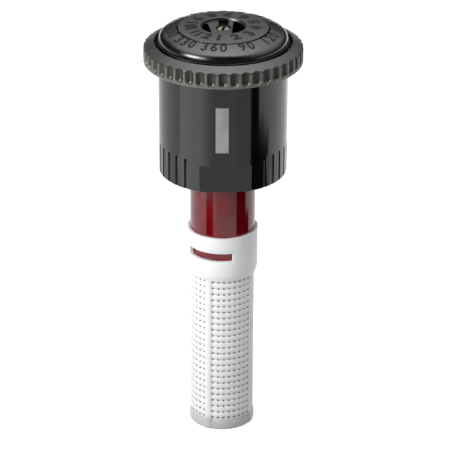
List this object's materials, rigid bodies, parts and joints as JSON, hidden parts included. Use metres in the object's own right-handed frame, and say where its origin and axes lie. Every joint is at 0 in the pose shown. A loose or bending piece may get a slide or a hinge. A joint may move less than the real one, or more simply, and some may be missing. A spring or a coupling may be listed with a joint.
{
  "type": "rotating multi-stream sprinkler nozzle",
  "caption": "Screw-on rotating nozzle for a pop-up sprinkler: a deflector with a viscous brake, a knurled arc ring, an inlet stem and a pull-off filter.",
  "frame": {"origin": "on the axis, in the plane of the body's bottom rim, where the riser's thread starts", "axes": "+Z along the axis from the filter to the deflector, -Y towards the side with the index mark, +X to the right of it"},
  "size_m": [0.0296, 0.0296, 0.0813],
  "materials": {
    "shell_plastic": "satin moulded black plastic",
    "ring_plastic": "satin moulded black plastic, handled edges",
    "head_plastic": "satin moulded black plastic",
    "cap_plastic": "satin moulded black plastic",
    "nozzle_plastic": "moulded black plastic",
    "hub_plastic": "moulded black plastic",
    "mark_ink": "matt grey inlay",
    "stem_plastic": "glossy maroon plastic",
    "filter_plastic": "white moulded plastic",
    "nut_plastic": "natural acetal",
    "bearing_plastic": "natural acetal",
    "shaft_steel": "drawn stainless steel",
    "spring_steel": "stainless spring wire",
    "seal_rubber": "black nitrile rubber",
    "seat_rubber": "black rubber"
  },
  "bodies": {
    "root": {"body": "shell_plastic", "index_mark": "mark_ink", "nozzle_hub": "hub_plastic", "nozzle_seal": "seal_rubber", "inlet_stem": "stem_plastic", "stem_seal": "seal_rubber", "throttle_seat": "seat_rubber", "shaft_bush": "bearing_plastic", "return_spring": "spring_steel"},
    "arc_adjuster": {"arc_ring": "ring_plastic", "arc_nozzle": "nozzle_plastic"},
    "filter_basket": {"filter": "filter_plastic"},
    "carriage": {"spring_seat": "nut_plastic"},
    "throttle": {"throttle_nut": "nut_plastic"},
    "shaft": {"radius_shaft": "shaft_steel", "brake_stator": "bearing_plastic", "spring_clip": "spring_steel"},
    "head": {"deflector": "head_plastic", "rotor_cap": "cap_plastic", "cap_o_ring": "seal_rubber", "upper_bearing": "bearing_plastic", "lower_bearing": "bearing_plastic", "shaft_seal": "seal_rubber"}
  },
  "joints": [
    {"name": "deflector_lift", "type": "slide", "parent": "root", "child": "carriage", "axis": [0, 0, 1], "range_m": [0, 0.007], "stiffness_N_per_m": 200, "springref_m": -0.01, "deforming": ["return_spring"]},
    {"name": "radius_screw", "type": "hinge", "parent": "carriage", "child": "shaft", "pos_m": [0, 0, 0], "axis": [0, 0, 1], "range_deg": [-1080, 0]},
    {"name": "throttle_slide", "type": "slide", "parent": "carriage", "child": "throttle", "axis": [0, 0, 1], "range_m": [0, 0.0024]},
    {"name": "deflector_spin", "type": "hinge", "parent": "shaft", "child": "head", "pos_m": [0, 0, 0], "axis": [0, 0, 1], "continuous": true},
    {"name": "arc_ring_turn", "type": "hinge", "parent": "root", "child": "arc_adjuster", "pos_m": [0, 0, 0], "axis": [0, 0, 1], "range_deg": [0, 120]},
    {"name": "filter_pull", "type": "slide", "parent": "root", "child": "filter_basket", "axis": [0, 0, -1], "range_m": [0, 0.026]}
  ],
  "couplings": [
    {"joint": "radius_screw", "follows": "throttle_slide", "rad_per_m": -7854}
  ]
}
